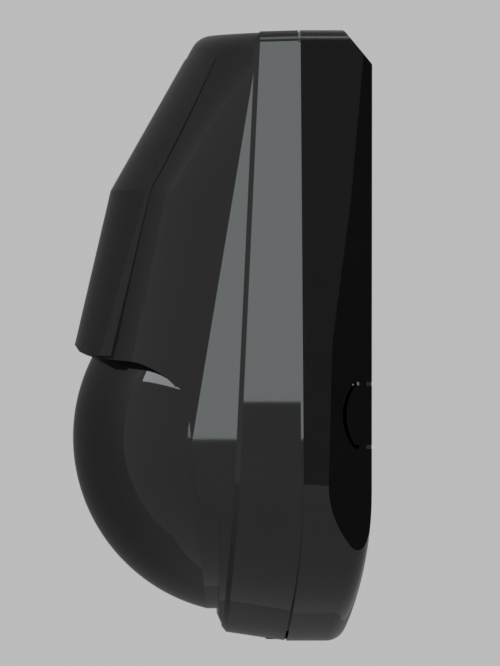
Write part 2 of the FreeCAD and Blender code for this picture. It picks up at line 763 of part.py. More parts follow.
def lip_cut():
    """Space under the nose panel's end, whose lip slopes back to the lens."""
    tip = hood_depth(NOSE_END_Z) + nose_rise(NOSE_END_Z)
    fall = NOSE_LIP_SLOPE * NOSE_LIP_DEPTH
    return side_prism([
        (tip + OVERCUT, NOSE_END_Z + NOSE_LIP_SLOPE * OVERCUT, 0),
        (tip - NOSE_LIP_DEPTH, NOSE_END_Z - fall, 0),
        (tip - NOSE_LIP_REACH, ARCH_Z - 0.2, 0),
        (tip - NOSE_LIP_REACH, -FAR, 0),
        (FAR, -FAR, 0),
        (FAR, NOSE_END_Z + NOSE_LIP_SLOPE * OVERCUT, 0)], -FAR, FAR)


def opening_wire(depth, grow, arch_rise=0.0):
    """Lens opening: crowned arch, round upper corners and a round foot."""
    half = OPENING_HALF_WIDTH + grow
    crown = ARCH_Z + grow + arch_rise
    arch = ARCH_R + grow
    corner = ARCH_CORNER_R + grow
    arch_centre = crown - arch
    centre_z = arch_centre + math.sqrt((arch - corner) ** 2 - (half - corner) ** 2)
    share = arch / (arch - corner)
    touch = ((half - corner) * share, arch_centre + (centre_z - arch_centre) * share)
    turn = math.atan2(centre_z - arch_centre, half - corner) / 2
    middle = (half - corner + corner * math.cos(turn), centre_z + corner * math.sin(turn))

    def p(x, z):
        return at(x, depth, z)
    return Part.Wire([
        Part.Arc(p(-touch[0], touch[1]), p(0, crown), p(*touch)).toShape(),
        Part.Arc(p(*touch), p(*middle), p(half, centre_z)).toShape(),
        Part.makeLine(p(half, centre_z), p(half, OPENING_SIDE_Z)),
        Part.Arc(p(-half, centre_z), p(-middle[0], middle[1]), p(-touch[0], touch[1])).toShape(),
        Part.makeLine(p(-half, centre_z), p(-half, OPENING_SIDE_Z)),
        *bowl_edges(depth, half, OPENING_SIDE_Z, OPENING_BOTTOM_Z - grow,
                    OPENING_FLANK_R + grow)])


def lens_tunnel():
    """The opening through the cover, flared upwards under the hood's lip."""
    seat = LENS_CENTRE_DEPTH + math.sqrt(LENS_R ** 2 - (ARCH_Z - LENS_CENTRE_Z) ** 2)
    lip = hood_depth(ARCH_Z) + NOSE_RISE_LIP + OVERCUT
    straight = front_prism(opening_wire(SNOUT_BACK_DEPTH, 0), SNOUT_BACK_DEPTH, seat)
    flare = Part.makeLoft([opening_wire(seat, 0), opening_wire(lip, 0, LIP_RISE)], True, True)
    clear = front_prism(opening_wire(lip, 0, LIP_RISE), lip, FAR)
    return straight.fuse([flare, clear])


def rim_front():
    """Side profile of everything behind the front face of the rim."""
    return side_prism([
        (-OVERCUT, FAR, 0),
        (RIM_FRONT_TOP - 0.045 * (FAR - TOP_Z), FAR, 0),
        (RIM_FRONT_BEND, RIM_FRONT_BEND_Z, RIM_FRONT_R),
        (RIM_FRONT_FOOT, BOTTOM_Z, 0),
        (RIM_FRONT_FOOT, -FAR, 0),
        (-OVERCUT, -FAR, 0)], -FAR, FAR)


def rim_cavity():
    """Hollow of the rim, ending in front at a flat seat for the lens flange."""
    hollow = rim_solid(COVER_WALL, SEAM_BEND_DEPTH - OVERCUT, DRAFT_END)
    limit = side_prism([
        (-OVERCUT, FAR, 0),
        (RIM_FRONT_TOP - COVER_WALL - 0.9, FAR, 0),
        (RIM_FRONT_TOP - COVER_WALL, TOP_Z, 0),
        (LENS_SEAT_DEPTH, FLANGE_TOP_Z + 1.0, 0),
        (LENS_SEAT_DEPTH, -FAR, 0),
        (-OVERCUT, -FAR, 0)], -FAR, FAR)
    return hollow.common(limit)


def make_front_cover():
    """Hooded shell with its nose panel, lens opening, lap joint and fixings."""
    rim = rim_solid(0, SEAM_BEND_DEPTH - OVERCUT, DRAFT_END).common(rim_front())
    rim = rim.makeChamfer(RIM_BEVEL, near_edges(rim, lambda x, d, z: d > RIM_FRONT_TOP - 2))
    hood = hood_solid(0)
    hood = hood.makeFillet(HOOD_EDGE_R, near_edges(hood, lambda x, d, z: (
        z > TOP_Z - 2 and d > HOOD_TOP_DEPTH - 1)))
    hood = hood.common(snout_prism(0)).cut(snout_front())
    outer = rim.fuse([hood.fuse(nose_solid()).cut(lip_cut())])

    above = block(-FAR, FAR, -OVERCUT, FAR, ARCH_Z + HOOD_FLOOR, FAR)
    seat_wall = block(-FAR, FAR, LENS_SEAT_DEPTH, LENS_SEAT_DEPTH + SEAT_WALL,
                      -FAR, FLANGE_TOP_Z + FLANGE_CLEARANCE)
    inner_hood = hood_solid(COVER_WALL).common(above).cut(seat_wall)
    shell = outer.cut([rim_cavity(), inner_hood, lens_tunnel()])
    shell = shell.cut(seam_slab(SEAM_GAP / 2, -OVERCUT))

    rebate = front_prism(housing_wire(0, REBATE_WALL), 0, FAR)
    shell = shell.cut(rebate.common(seam_slab(REBATE_LENGTH, -OVERCUT)))

    shell = join(shell, *cover_hooks(), *cover_stakes(), *tamper_rib(), lock_pad())
    shell = shell.cut(seam_slab(SEAM_GAP / 2, SEAM_BEND_DEPTH - 0.1).common(
        block(-FAR, FAR, 0, FAR, -FAR, TOP_Z - 8)))
    return shell.cut(lock_notch()).removeSplitter()


def cover_hooks():
    """Two hooks that reach back under the top wall of the rear housing."""
    hooks = []
    arm_top = TOP_Z - REAR_WALL - HOOK_ARM_GAP
    arm_bottom = arm_top - HOOK_ARM_THICK
    root = HOOK_ROOT_DEPTH - 1.2
    profile = [
        (HOOK_TIP_DEPTH, arm_bottom, 0.3),
        (HOOK_TIP_DEPTH, arm_top + HOOK_TIP_RISE - HOOK_ARM_GAP, 0.3),
        (HOOK_TIP_DEPTH + HOOK_TIP_LENGTH, arm_top + HOOK_TIP_RISE - HOOK_ARM_GAP, 0.3),
        (HOOK_TIP_DEPTH + HOOK_TIP_LENGTH, arm_top, 0),
        (SEAM_DEPTH + REBATE_LENGTH + 0.4, arm_top, 0),
        (SEAM_DEPTH + REBATE_LENGTH + 0.4, TOP_Z - COVER_WALL + 0.3, 0),
        (root, TOP_Z - COVER_WALL + 0.3, 0),
        (root, arm_bottom, 0)]
    for side in (-1, 1):
        x = side * HOOK_X
        hooks.append(side_prism(profile, x - HOOK_HALF_WIDTH, x + HOOK_HALF_WIDTH))
    return hooks


def stake_places():
    """Centres of the four stakes, left and right."""
    return [(side * x, z) for x, z in STAKES for side in (-1, 1)]


def cover_stakes():
    """Stakes through the lens flange and the retainer, with upset heads."""
    end = LENS_SEAT_DEPTH - FLANGE_THICK - RETAINER_THICK
    stakes = []
    for x, z in stake_places():
        shank = peg(x, z, STAKE_R, end - 0.2, LENS_SEAT_DEPTH + 0.6)
        head = peg(x, z, STAKE_HEAD_R, end - STAKE_HEAD_THICK, end)
        head = head.makeFillet(0.3, near_edges(head, lambda px, d, pz: d < end - 0.5))
        stakes.append(shank.fuse(head))
    return stakes


def tamper_tip_depth():
    """Depth of the front face of the tamper plunger at rest."""
    board_front = BOARD_BACK_DEPTH + BOARD_THICK
    return board_front + TAMPER_BODY_HEIGHT + TAMPER_STEM_EXPOSED + TAMPER_HEAD_THICK


def tamper_rib():
    """Tapered rib from the snout's side wall that presses the tamper plunger."""
    start = tamper_tip_depth() + TAMPER_RIB_GAP
    wall = HALF_WIDTH - SNOUT_INSET - COVER_WALL + 0.6
    half = TAMPER_RIB_HALF
    low, high = TAMPER_Z - half, TAMPER_Z + half
    inner = TAMPER_X - 1.6
    corners = [(inner, start), (wall, start), (wall, start + 3.0), (inner + 3.2, start + 5.5),
               (inner, start + 5.5)]
    points = [at(x, depth, low) for x, depth in corners]
    face = Part.Face(Part.makePolygon(points + points[:1]))
    web = face.extrude(Vector(0, 0, high - low))
    pad = block(TAMPER_X - 1.6, TAMPER_X + 1.6, start, start + 1.2,
                TAMPER_Z - 1.6, TAMPER_Z + 1.6)
    return [web, pad]


def lock_pad():
    """Thicker floor of the cover under the locking screw's boss."""
    depth_to = LENS_SEAT_DEPTH - FLANGE_THICK - RETAINER_THICK - LOCK_EASE
    half = LOCK_PAD_HALF_WIDTH
    return block(-half, half, SEAM_FOOT_DEPTH + SEAM_GAP / 2, depth_to,
                 BOTTOM_Z + 1.0, LOCK_BOSS_BOTTOM_Z - LOCK_PAD_GAP)


def lock_notch():
    """Slot and recess, open at the parting line, for the locking screw."""
    slot = LOCK_SHANK_R + LOCK_EASE
    recess = LOCK_HEAD_R + LOCK_RECESS_EASE
    floor = lock_floor_z()
    shank_way = block(-slot, slot, 0, LOCK_DEPTH, -FAR, LOCK_BOSS_BOTTOM_Z)
    head_way = block(-recess, recess, 0, LOCK_DEPTH, -FAR, floor)
    return join(lock_bore(slot, -FAR, LOCK_BOSS_BOTTOM_Z), shank_way, head_way,
                lock_bore(recess, -FAR, floor))


def make_lens():
    """Dome, skirt and flange in one, with stepped rings inside the dome."""
    centre = at(0, LENS_CENTRE_DEPTH, LENS_CENTRE_Z)
    back = LENS_SEAT_DEPTH - FLANGE_THICK
    outer = front_prism(opening_wire(back, -LENS_CLEARANCE), back, FAR)
    outer = outer.common(Part.makeSphere(LENS_R, centre))
    flange = flange_plate(back, LENS_SEAT_DEPTH)
    inner = front_prism(
        opening_wire(back - OVERCUT, -LENS_CLEARANCE - LENS_WALL), back - OVERCUT, FAR)
    inner = inner.common(Part.makeSphere(LENS_R - LENS_WALL, centre))
    lens = outer.fuse(flange).cut(inner)
    outward = at(0, 1, 0)
    for radius in FRESNEL_RINGS:
        foot = at(0, LENS_CENTRE_DEPTH + LENS_R - 2.4 * LENS_WALL - 1.2, LENS_CENTRE_Z)
        ring = Part.makeCylinder(radius, 4.0, foot, outward)
        ring = ring.cut(Part.makeCylinder(radius - 0.5, 4.0, foot, outward))
        lens = lens.cut(ring.common(Part.makeSphere(LENS_R - LENS_WALL + FRESNEL_DEPTH, centre)))
    return lens.removeSplitter()


def flange_plate(depth_from, depth_to):
    """Plate that fits inside the rim round the lens, with holes for the stakes."""
    wire = housing_wire(depth_from, COVER_WALL + FLANGE_CLEARANCE, *rim_draft(LENS_SEAT_DEPTH))
    solid = front_prism(wire, depth_from, depth_to)
    solid = solid.cut(block(-FAR, FAR, 0, FAR, FLANGE_TOP_Z, FAR))
    holes = [peg(x, z, STAKE_R + STAKE_CLEARANCE, depth_from - OVERCUT, depth_to + OVERCUT)
             for x, z in stake_places()]
    return solid.cut(holes)


def make_retainer():
    """Frame behind the lens flange, with a window a little wider than the lens."""
    front = LENS_SEAT_DEPTH - FLANGE_THICK
    back = front - RETAINER_THICK
    frame = flange_plate(back, front)
    grow = -LENS_CLEARANCE - LENS_WALL - RETAINER_WINDOW_EASE
    return frame.cut(front_prism(opening_wire(back - OVERCUT, grow), back - OVERCUT, FAR))


def screw(x, z, head_depth, head_r, head_thick, shank_r, length):
    """Pan-head screw along the depth axis with a cross recess in its head."""
    head = peg(x, z, head_r, head_depth, head_depth + head_thick)
    front = head_depth + head_thick
    head = head.makeFillet(head_thick * 0.4, near_edges(head, lambda a, d, b: d > front - 0.01))
    shank = peg(x, z, shank_r, head_depth - length, head_depth)
    arm = head_r * 0.62
    slot = head_r * 0.14
    cross = block(x - arm, x + arm, front - head_thick * 0.6, front + 1, z - slot, z + slot)
    cross = cross.fuse(
        block(x - slot, x + slot, front - head_thick * 0.6, front + 1, z - arm, z + arm))
    return head.fuse(shank).cut(cross)


def make_lock_screw():
    """Locking screw that stands up through the cover's notch into its boss."""
    top = lock_floor_z() - 0.1
    bottom = top - LOCK_HEAD_THICK
    head = lock_bore(LOCK_HEAD_R, bottom, top)
    head = head.makeFillet(0.4, near_edges(head, lambda x, d, z: z < bottom + 0.01))
    shank = lock_bore(LOCK_SHANK_R, top, LOCK_BOSS_TOP_Z - 0.6)
    arm = LOCK_HEAD_R * 0.62
    slot = LOCK_HEAD_R * 0.14
    deep = bottom + LOCK_HEAD_THICK * 0.6
    cross = block(-arm, arm, LOCK_DEPTH - slot, LOCK_DEPTH + slot, bottom - 1, deep)
    cross = cross.fuse(
        block(-slot, slot, LOCK_DEPTH - arm, LOCK_DEPTH + arm, bottom - 1, deep))
    return head.fuse(shank).cut(cross)


def board_front():
    """Depth of the board's component side."""
    return BOARD_BACK_DEPTH + BOARD_THICK


def make_board():
    """Circuit board with its screw and peg holes and the holes for leads."""
    r = BOARD_CORNER_R
    board = plate([
        (BOARD_HALF_WIDTH, BOARD_TOP_Z, r), (-BOARD_HALF_WIDTH, BOARD_TOP_Z, r),
        (-BOARD_HALF_WIDTH, BOARD_BOTTOM_Z, r), (BOARD_HALF_WIDTH, BOARD_BOTTOM_Z, r)],
        BOARD_BACK_DEPTH, board_front())
    holes = []
    reach = (BOARD_BACK_DEPTH - OVERCUT, board_front() + OVERCUT)
    for side in (-1, 1):
        x, z = POST_TOP
        holes.append(peg(side * x, z, BOARD_SCREW_R + BOARD_HOLE_CLEARANCE, *reach))
        x, z = POST_LOW
        holes.append(peg(side * x, z, PEG_R + PEG_CLEARANCE, *reach))
    for x, z in pir_lead_places() + led_lead_places():
        holes.append(peg(x, z, LEAD_R + 0.1, *reach))
    return board.cut(holes)


def pir_lead_places():
    """Three leads on a circle under the infrared sensor."""
    places = []
    for angle in (90, 210, 330):
        turn = math.radians(angle)
        places.append((LEAD_CIRCLE_R * math.cos(turn),
                       LENS_CENTRE_Z + LEAD_CIRCLE_R * math.sin(turn)))
    return places


def led_lead_places():
    """Two leads under the indicator lamp."""
    return [(LED_X + side * LED_LEAD_PITCH / 2, LED_Z) for side in (-1, 1)]


def can_back_depth():
    """Depth of the underside of the infrared sensor."""
    return CAN_TOP_DEPTH - CAN_HEIGHT - CAN_FLANGE_THICK


def make_can():
    """Drawn metal can on its flanged header, with a rectangular window hole."""
    back = can_back_depth()
    front = CAN_TOP_DEPTH
    header = peg(0, LENS_CENTRE_Z, CAN_FLANGE_R, back, back + CAN_FLANGE_THICK)
    can = peg(0, LENS_CENTRE_Z, CAN_R, back, front)
    can = can.makeFillet(0.5, near_edges(can, lambda x, d, z: d > front - 0.01))
    window = plate(window_corners(0), front - WINDOW_THICK, front + OVERCUT)
    return header.fuse(can).cut(window)


def window_corners(inset):
    """Corners of the sensor's rectangular window."""
    half_w = WINDOW_WIDTH / 2 - inset
    half_h = WINDOW_HEIGHT / 2 - inset
    z = LENS_CENTRE_Z
    return [(half_w, z + half_h, 0.3), (-half_w, z + half_h, 0.3),
            (-half_w, z - half_h, 0.3), (half_w, z - half_h, 0.3)]


def make_window():
    """Infrared filter that fills the hole in the can."""
    return plate(window_corners(0.02), CAN_TOP_DEPTH - WINDOW_THICK, CAN_TOP_DEPTH - 0.1)


def make_leads(places, depth_to):
    """Straight wire leads from under a component through the board."""
    return [peg(x, z, LEAD_R, BOARD_BACK_DEPTH - LEAD_TAIL, depth_to) for x, z in places]


def make_collar():
    """Plastic collar that stands on the board round the infrared sensor."""
    inner = CAN_FLANGE_R + COLLAR_CLEARANCE
    base = board_front()
    body = peg(0, LENS_CENTRE_Z, inner + COLLAR_WALL, base, base + COLLAR_RISE)
    foot = peg(0, LENS_CENTRE_Z, inner + COLLAR_WALL + 0.8, base, base + 1.0)
    bore = peg(0, LENS_CENTRE_Z, inner, base - OVERCUT, base + COLLAR_RISE + OVERCUT)
    collar = body.fuse(foot).cut(bore)
    mouth = near_edges(collar, lambda x, d, z: d > base + COLLAR_RISE - 0.01)
    return collar.makeChamfer(0.4, mouth)


def make_led():
    """Round indicator lamp with a domed tip and a flange."""
    base = board_front()
    flange = peg(LED_X, LED_Z, LED_FLANGE_R, base, base + LED_FLANGE_THICK)
    body = peg(LED_X, LED_Z, LED_R, base, base + LED_HEIGHT - LED_R)
    dome = Part.makeSphere(LED_R, at(LED_X, base + LED_HEIGHT - LED_R, LED_Z))
    return join(flange, body, dome)


def terminal_centres():
    """Centres across X of the terminal ways."""
    first = -(TERMINAL_WAYS - 1) * TERMINAL_PITCH / 2
    return [first + index * TERMINAL_PITCH for index in range(TERMINAL_WAYS)]


def make_terminal_block():
    """Moulded block with a stepped section, screw wells and wire entries."""
    base = board_front()
    z_low = TERMINAL_Z - TERMINAL_LENGTH_Z / 2
    z_high = TERMINAL_Z + TERMINAL_LENGTH_Z / 2
    half = TERMINAL_WAYS * TERMINAL_PITCH / 2
    body = side_prism([
        (base, z_low, 0),
        (base + TERMINAL_SHOULDER, z_low, 0.4),
        (base + TERMINAL_HEIGHT, z_low + 1.6, 0.4),
        (base + TERMINAL_HEIGHT, z_high - 2.2, 0.4),
        (base + TERMINAL_SHOULDER, z_high, 0.4),
        (base, z_high, 0)], -half, half)
    cuts = []
    entry = TERMINAL_ENTRY / 2
    floor = base + TERMINAL_FLOOR
    for x in terminal_centres():
        cuts.append(peg(x, TERMINAL_Z, TERMINAL_WELL_R, floor + TERMINAL_ENTRY_HEIGHT,
                        base + TERMINAL_HEIGHT + OVERCUT))
        cuts.append(block(x - entry, x + entry, floor, floor + TERMINAL_ENTRY_HEIGHT,
                          TERMINAL_Z - entry, z_high + OVERCUT))
    return body.cut(cuts)


def make_terminal_clamps():
    """One folded metal cage in each way, open to the wire entry."""
    floor = board_front() + TERMINAL_FLOOR
    outer = TERMINAL_ENTRY / 2 - 0.05
    inner = outer - 0.4
    top = floor + TERMINAL_ENTRY_HEIGHT
    cages = []
    for x in terminal_centres():
        cage = block(x - outer, x + outer, floor, top, TERMINAL_Z - outer, TERMINAL_Z + outer)
        hollow = block(x - inner, x + inner, floor + 0.4, top - 0.6,
                       TERMINAL_Z - outer - OVERCUT, TERMINAL_Z + outer + OVERCUT)
        thread = peg(x, TERMINAL_Z, TERMINAL_SHANK_R + THREAD_CLEARANCE, floor + 0.4,
                     top + OVERCUT)
        cages.append(cage.cut([hollow, thread]))
    return cages


def make_terminal_screws():
    """One slotted clamp screw in each way."""
    screws = []
    top = board_front() + TERMINAL_FLOOR + TERMINAL_ENTRY_HEIGHT
    seat = top + 0.8
    for x in terminal_centres():
        head = peg(x, TERMINAL_Z, TERMINAL_SCREW_R, seat, seat + TERMINAL_SCREW_HEAD)
        shank = peg(x, TERMINAL_Z, TERMINAL_SHANK_R, top - 1.6, seat)
        slot = block(x - TERMINAL_SCREW_R, x + TERMINAL_SCREW_R,
                     seat + TERMINAL_SCREW_HEAD - 0.7, seat + TERMINAL_SCREW_HEAD + 1,
                     TERMINAL_Z - 0.25, TERMINAL_Z + 0.25)
        screws.append(head.fuse(shank).cut(slot))
    return screws


def make_tamper_switch():
    """Square switch body with a bore for the plunger's stem and four feet."""
    base = board_front()
    half = TAMPER_BODY / 2
    top = base + TAMPER_BODY_HEIGHT
    body = block(TAMPER_X - half, TAMPER_X + half, base, top, TAMPER_Z - half, TAMPER_Z + half)
    body = body.makeChamfer(0.4, near_edges(body, lambda x, d, z: d > top - 0.01))
    depth = TAMPER_STEM_INSIDE + TAMPER_TRAVEL + 0.3
    bore = peg(TAMPER_X, TAMPER_Z, TAMPER_STEM_R + TAMPER_BORE_CLEARANCE, top - depth,
               top + OVERCUT)
    return body.cut(bore)


def make_plunger():
    """Plunger: a round head on a stem that slides into the switch body."""
    head_back = tamper_tip_depth() - TAMPER_HEAD_THICK
    head = peg(TAMPER_X, TAMPER_Z, TAMPER_HEAD_R, head_back, tamper_tip_depth())
    head = head.makeFillet(
        0.35, near_edges(head, lambda x, d, z: d > tamper_tip_depth() - 0.01))
    foot = board_front() + TAMPER_BODY_HEIGHT - TAMPER_STEM_INSIDE
    return join(head, peg(TAMPER_X, TAMPER_Z, TAMPER_STEM_R, foot, head_back))


def make_spring():
    """Return spring round the stem, between the switch body and the head."""
    base = board_front() + TAMPER_BODY_HEIGHT + SPRING_WIRE_R + SPRING_PLAY
    length = TAMPER_STEM_EXPOSED - 2 * (SPRING_WIRE_R + SPRING_PLAY)
    sections = []
    for index in range(SPRING_TURNS * SPRING_STEPS + 1):
        turn = 2 * math.pi * index / SPRING_STEPS
        depth = base + length * index / (SPRING_TURNS * SPRING_STEPS)
        corners = []
        for corner in range(SPRING_SIDES):
            angle = 2 * math.pi * corner / SPRING_SIDES
            radius = SPRING_R + SPRING_WIRE_R * math.cos(angle)
            corners.append(at(
                TAMPER_X + radius * math.cos(turn), depth + SPRING_WIRE_R * math.sin(angle),
                TAMPER_Z + radius * math.sin(turn)))
        sections.append(Part.makePolygon(corners + corners[:1]))
    return Part.makeLoft(sections, True, True)


def leaded_chip(x, z, length, width, height, leads):
    """Flat chip: a bevelled body with gull-wing leads along its two long sides."""
    base = board_front()
    body = block(x - length / 2, x + length / 2, base + 0.15, base + height,
                 z - width / 2, z + width / 2)
    body = body.makeChamfer(0.25, near_edges(body, lambda px, d, pz: d > base + height - 0.01))
    pins = []
    pitch = 1.27
    start = x - (leads - 1) * pitch / 2
    for index in range(leads):
        for side in (-1, 1):
            edge = z + side * (width / 2 + 0.45)
            px = start + index * pitch
            low, high = sorted((edge - side * 0.75, edge + side * 0.45))
            pins.append(block(px - 0.2, px + 0.2, base, base + 0.3, low, high))
    return join(body, *pins)


def make_capacitors():
    """Can capacitors standing on the board, each with a crimp near its base."""
    base = board_front()
    cans = []
    for x, z, radius, height in (
            (2.2, 4.8, 3.15, 7.0), (TAMPER_X - 6.5, 5.0, 2.5, 5.4)):
        body = peg(x, z, radius, base, base + height)
        body = body.makeFillet(0.4, near_edges(body, lambda a, d, b: d > base + height - 0.01))
        crimp = Part.makeTorus(radius, 0.25, at(x, base + 1.4, z), at(0, 1, 0))
        cans.append(body.cut(crimp))
    return cans


def make_relay():
    """Slim relay block with a rounded top edge."""
    base = board_front()
    body = block(-20.0, -2.0, base, base + 5.2, 3.2, 8.4)
    return body.makeFillet(0.5, near_edges(body, lambda x, d, z: d > base + 5.19))


def make_regulator():
    """Voltage regulator: a flat-faced half-round body lying on its leads."""
    base = board_front() + 1.0
    body = peg(9.0, 5.0, 2.3, base, base + 4.6)
    body = body.cut(block(4, 14, 0, FAR, 2.0, 3.6))
    legs = [peg(9.0 + step, 5.0, 0.25, board_front(), base + 0.5) for step in (-1.27, 0, 1.27)]
    return join(body, *legs)


def make_chip_parts():
    """Rows of small chip resistors and capacitors."""
    base = board_front()
    parts = []
    for row, z in enumerate((-2.0, -12.5, -15.5)):
        for column in range(4):
            x = -7.0 + 3.6 * column + (1.2 if row else 0.0)
            parts.append(block(x - 0.8, x + 0.8, base, base + 0.5, z - 0.4, z + 0.4))
    return parts


def header_places():
    """Pins of the option header: two pairs."""
    return [(2.54 * column - HEADER_X, -3.0 + 2.54 * row) for column in (0, 1) for row in (0, 1)]


def make_header():
    """Option header: square pins in a low plastic bar."""
    base = board_front()
    bar = block(-HEADER_X - 1.3, 3.8 - HEADER_X, base, base + 2.4, -4.3, 0.8)
    pins = [block(x - 0.3, x + 0.3, base + 2.0, base + 8.2, z - 0.3, z + 0.3)
            for x, z in header_places()]
    return join(bar, *pins)


def make_jumper():
    """Jumper cap pushed over one pair of header pins."""
    base = board_front() + 2.45
    x = -HEADER_X
    cap = block(x - 1.2, x + 1.2, base, base + 5.9, -4.2, 0.7)
    cap = cap.makeChamfer(0.3, near_edges(cap, lambda a, d, b: d > base + 5.89))
    sockets = [block(x - 0.35, x + 0.35, base - OVERCUT, base + FAR / 10, z - 0.35, z + 0.35)
               for px, z in header_places()[:2]]
    return cap.cut(sockets)


os.makedirs("parts", exist_ok=True)

export("front_cover", make_front_cover())
export("lens", make_lens())
export("lens_retainer", make_retainer())
export("rear_housing", make_rear_housing())
export("cover_screw", make_lock_screw())

export("circuit_board", make_board())
export("board_screws", *[
    screw(side * POST_TOP[0], POST_TOP[1], board_front(), BOARD_SCREW_HEAD_R,
          BOARD_SCREW_HEAD_THICK, BOARD_SCREW_R, BOARD_SCREW_LENGTH) for side in (-1, 1)])

export("pir_sensor_can", make_can())
export("pir_window", make_window())
export("pir_leads", *make_leads(pir_lead_places(), can_back_depth()))
export("sensor_collar", make_collar())
export("indicator_led", make_led())
export("led_leads", *make_leads(led_lead_places(), board_front()))

export("terminal_block", make_terminal_block())
export("terminal_clamps", *make_terminal_clamps())
export("terminal_screws", *make_terminal_screws())

export("tamper_switch", make_tamper_switch())
export("tamper_plunger", make_plunger())
export("tamper_spring", make_spring())

export("processor_chip", leaded_chip(-9.0, -7.0, 9.0, 3.9, 1.6, 7))
export("amplifier_chip", leaded_chip(8.0, -7.0, 5.0, 3.9, 1.6, 4))
export("alarm_relay", make_relay())
export("voltage_regulator", make_regulator())
export("capacitors", *make_capacitors())
export("chip_components", *make_chip_parts())
export("option_header", make_header())
export("option_jumper", make_jumper())
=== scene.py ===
"""A wall-mounted passive infrared motion sensor: its finishes, light and camera.

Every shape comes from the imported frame. This script gives each piece the finish of the
real one, lights it before an even pale grey and sets the camera to the part's side.
"""
import bpy
import json
import math
from mathutils import Matrix, Vector


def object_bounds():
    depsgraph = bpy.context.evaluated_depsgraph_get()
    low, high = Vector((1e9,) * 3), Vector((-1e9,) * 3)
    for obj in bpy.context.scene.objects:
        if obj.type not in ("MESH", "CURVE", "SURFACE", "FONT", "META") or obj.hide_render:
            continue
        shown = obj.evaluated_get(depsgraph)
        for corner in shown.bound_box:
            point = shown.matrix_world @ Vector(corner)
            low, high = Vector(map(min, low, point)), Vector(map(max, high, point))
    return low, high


MM = 0.001

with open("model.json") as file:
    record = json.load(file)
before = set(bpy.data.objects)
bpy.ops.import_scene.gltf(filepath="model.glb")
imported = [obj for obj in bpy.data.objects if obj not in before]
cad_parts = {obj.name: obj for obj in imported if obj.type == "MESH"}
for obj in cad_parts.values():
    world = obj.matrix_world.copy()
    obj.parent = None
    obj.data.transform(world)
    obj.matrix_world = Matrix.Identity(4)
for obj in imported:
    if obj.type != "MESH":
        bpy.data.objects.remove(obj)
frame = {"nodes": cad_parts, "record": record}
cad_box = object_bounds()
nodes = frame["nodes"]


# Materials

# The part of a noise's range that nearly all of its values lie in.
NOISE_LOW, NOISE_HIGH = 0.35, 0.65


def linear(hex_value):
    """Turn an sRGB hex string into linear red, green, blue and an alpha of 1."""
    shares = [int(hex_value[i:i + 2], 16) / 255.0 for i in (1, 3, 5)]
    return (*(s / 12.92 if s <= 0.04045 else ((s + 0.055) / 1.055) ** 2.4 for s in shares), 1.0)


def add(tree, kind, settings=None, values=None, links=None):
    """Add a node with its settings, the values of its sockets and its incoming links."""
    node = tree.nodes.new(kind)
    for name, setting in (settings or {}).items():
        setattr(node, name, setting)
    for socket, value in (values or {}).items():
        node.inputs[socket].default_value = value
    for socket, source in (links or {}).items():
        tree.links.new(source, node.inputs[socket])
    return node


def surface(name, colour, roughness, metallic=0.0, **sockets):
    """Start a material: its surface shader with the values that are even all over."""
    material = bpy.data.materials.new(name)
    material.use_nodes = True
    tree = material.node_tree
    tree.nodes.clear()
    values = {"Base Color": linear(colour), "Roughness": roughness, "Metallic": metallic}
    values.update({key.replace("_", " "): value for key, value in sockets.items()})
    shader = add(tree, "ShaderNodeBsdfPrincipled", values=values)
    add(tree, "ShaderNodeOutputMaterial", links={"Surface": shader.outputs["BSDF"]})
    return material, tree, shader


def noise(tree, size_mm, detail, roughness=0.5):
    """Three-dimensional noise whose largest features are about size_mm across."""
    place = add(tree, "ShaderNodeTexCoord").outputs["Object"]
    return add(tree, "ShaderNodeTexNoise",
               values={"Scale": 1.0 / (size_mm * MM), "Detail": detail, "Roughness": roughness},
               links={"Vector": place}).outputs["Fac"]


def spread(tree, source, low_end, high_end, target):
    """Map a noise onto a range and lead it to a socket."""
    mapped = add(tree, "ShaderNodeMapRange",
                 values={"From Min": NOISE_LOW, "From Max": NOISE_HIGH, "To Min": low_end,
                         "To Max": high_end},
                 links={"Value": source})
    tree.links.new(mapped.outputs["Result"], target)


def mottle(tree, source, shade, tint, target):
    """Mix two close colours by a noise and lead the result to a socket."""
    ramp = add(tree, "ShaderNodeValToRGB", links={"Fac": source})
    for stop, position, colour in zip(ramp.color_ramp.elements, (NOISE_LOW, NOISE_HIGH),
                                      (shade, tint)):
        stop.position = position
        stop.color = linear(colour)
    tree.links.new(ramp.outputs["Color"], target)


def relief(tree, source, height_mm, shader):
    """Turn a noise into surface relief of a height in millimetres."""
    bump = add(tree, "ShaderNodeBump", values={"Strength": 1.0, "Distance": height_mm * MM},
               links={"Height": source})
    tree.links.new(bump.outputs["Normal"], shader.inputs["Normal"])


def moulded(name, shade, tint, roughness, grain_mm, grain_height_mm, **sockets):
    """Moulded plastic: fine tool grain, and colour and gloss that drift over 18 mm."""
    material, tree, shader = surface(name, shade, roughness, **sockets)
    drift = noise(tree, 18.0, 3.0, 0.55)
    mottle(tree, drift, shade, tint, shader.inputs["Base Color"])
    spread(tree, drift, roughness * 0.9, roughness * 1.1, shader.inputs["Roughness"])
    relief(tree, noise(tree, grain_mm, 2.0, 0.6), grain_height_mm, shader)
    return material


def plated(name, shade, tint, roughness, scuff_mm):
    """Metal with faint scuffs from handling and tooling, 2 micrometres deep."""
    material, tree, shader = surface(name, shade, roughness, 1.0)
    scuffs = noise(tree, scuff_mm, 4.0, 0.6)
    mottle(tree, scuffs, shade, tint, shader.inputs["Base Color"])
    spread(tree, scuffs, roughness * 0.8, roughness * 1.25, shader.inputs["Roughness"])
    relief(tree, noise(tree, scuff_mm / 3, 2.0), 0.002, shader)
    return material


